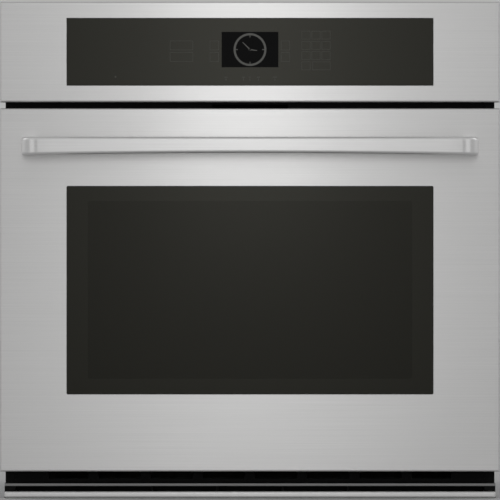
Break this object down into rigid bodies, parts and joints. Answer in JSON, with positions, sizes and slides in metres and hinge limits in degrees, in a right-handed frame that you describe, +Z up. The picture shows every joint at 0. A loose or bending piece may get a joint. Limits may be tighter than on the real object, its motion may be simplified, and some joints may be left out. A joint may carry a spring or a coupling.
{
  "type": "wall oven",
  "caption": "Single built-in electric wall oven with glass touch panel, bar handle, drop-down window door, inner racks, hidden heaters, fan, blower and bottom vent.",
  "frame": {"origin": "middle of the width, at the underside of the base pan, in the plane of the back of the trim flanges (the cabinet face)", "axes": "+X to the right seen from the front, +Y to the rear, +Z up; the door faces -Y"},
  "size_m": [0.762, 0.709, 0.7565],
  "materials": {
    "stainless": "fine horizontal brush grain",
    "stainless_trim": "satin",
    "handle_metal": "fine brushed",
    "zinc_sheet": "bare zinc-coated sheet",
    "black_paint": "semi-gloss",
    "enamel": "speckled gloss enamel",
    "rack_wire": "bright",
    "heater_sheath": "oxidised matt",
    "fan_steel": "mill",
    "motor_body": "matt",
    "glass_wool": "loose fibre",
    "gasket_braid": "woven glass braid",
    "dark_glass": "tinted gloss with black border",
    "panel_glass": "black back-painted gloss",
    "clear_glass": "clear heat-reflecting",
    "display": "gloss",
    "board": "solder mask",
    "switch_plastic": "moulded",
    "bracket_steel": "plated",
    "bulb": "clear",
    "spring_steel": "oiled",
    "plunger_white": "moulded"
  },
  "bodies": {
    "chassis": {"base_pan": "zinc_sheet", "side_panels": "zinc_sheet", "rear_panel": "zinc_sheet", "top_cover": "zinc_sheet", "top_screws": "bracket_steel", "compartment_shelf": "zinc_sheet", "front_frame": "black_paint", "side_trims": "black_paint", "oven_cavity": "enamel", "insulation": "glass_wool", "rack_ladders": "rack_wire", "fan_cover": "enamel", "convection_element": "heater_sheath", "convection_motor": "motor_body", "broil_element": "heater_sheath", "bake_element": "heater_sheath", "temperature_sensors": "bracket_steel", "lamp_housings": "bracket_steel", "lamp_bulbs": "bulb", "lamp_lenses": "clear_glass", "smoke_vent": "black_paint", "door_gasket": "gasket_braid", "blower_housing": "zinc_sheet", "blower_motor": "motor_body", "air_duct": "zinc_sheet", "latch_motor": "bracket_steel", "door_switch": "switch_plastic", "circuit_boards": "board", "supply_box": "zinc_sheet", "conduit_connector": "bracket_steel", "control_fascia": "stainless", "touch_glass": "panel_glass", "panel_brackets": "zinc_sheet", "display_module": "display", "bottom_trim": "stainless_trim", "vent_blade": "black_paint", "vent_end_caps": "black_paint", "hinge_arms": "bracket_steel", "hinge_receivers": "bracket_steel", "rollout_frame": "rack_wire"},
    "door": {"door_skin": "stainless", "door_top_vent": "black_paint", "outer_glass": "dark_glass", "window_frames": "bracket_steel", "middle_panes": "clear_glass", "inner_liner": "enamel", "inner_glass": "clear_glass", "door_insulation": "glass_wool", "hinge_channels": "bracket_steel", "hinge_springs": "spring_steel", "handle_bar": "handle_metal", "door_screws": "bracket_steel"},
    "lower_rack": {"rack_lower": "rack_wire"},
    "upper_rack": {"rack_upper": "rack_wire"},
    "rollout_slide": {"rollout_glides": "bracket_steel"},
    "rollout_rack": {"rollout_shelf": "rack_wire"},
    "oven_fan": {"convection_fan": "fan_steel"},
    "cooling_wheel": {"blower_wheel": "fan_steel"},
    "door_latch": {"latch_hook": "bracket_steel"},
    "switch_plunger": {"door_plunger": "plunger_white"}
  },
  "joints": [
    {"name": "door_hinge", "type": "hinge", "parent": "chassis", "child": "door", "pos_m": [0, -0.022, 0.031], "axis": [1, 0, 0], "range_deg": [0, 90], "stiffness_Nm_per_rad": 17, "springref_deg": -26.93},
    {"name": "lower_rack_slide", "type": "slide", "parent": "chassis", "child": "lower_rack", "axis": [0, -1, 0], "range_m": [0, 0.23]},
    {"name": "upper_rack_slide", "type": "slide", "parent": "chassis", "child": "upper_rack", "axis": [0, -1, 0], "range_m": [0, 0.23]},
    {"name": "rollout_glide_slide", "type": "slide", "parent": "chassis", "child": "rollout_slide", "axis": [0, -1, 0], "range_m": [0, 0.15]},
    {"name": "rollout_rack_slide", "type": "slide", "parent": "chassis", "child": "rollout_rack", "axis": [0, -1, 0], "range_m": [0, 0.3]},
    {"name": "switch_plunger_slide", "type": "slide", "parent": "chassis", "child": "switch_plunger", "axis": [0, -1, 0], "range_m": [0, 0.006]},
    {"name": "convection_fan_spin", "type": "hinge", "parent": "chassis", "child": "oven_fan", "pos_m": [0, 0.47, 0.3001], "axis": [0, 1, 0], "continuous": true},
    {"name": "cooling_wheel_spin", "type": "hinge", "parent": "chassis", "child": "cooling_wheel", "pos_m": [0.2, 0.43, 0.58], "axis": [0, 0, 1], "continuous": true},
    {"name": "latch_turn", "type": "hinge", "parent": "chassis", "child": "door_latch", "pos_m": [0.14, 0.025, 0.5547], "axis": [0, 0, -1], "range_deg": [0, 90]}
  ],
  "couplings": [
    {"joint": "lower_rack_slide", "follows": "door_hinge", "m_per_rad": 0.14579},
    {"joint": "upper_rack_slide", "follows": "door_hinge", "m_per_rad": 0.14579},
    {"joint": "rollout_glide_slide", "follows": "door_hinge", "m_per_rad": 0.09486},
    {"joint": "rollout_rack_slide", "follows": "door_hinge", "m_per_rad": 0.18971},
    {"joint": "switch_plunger_slide", "follows": "door_hinge", "m_per_rad": 0.003756}
  ]
}
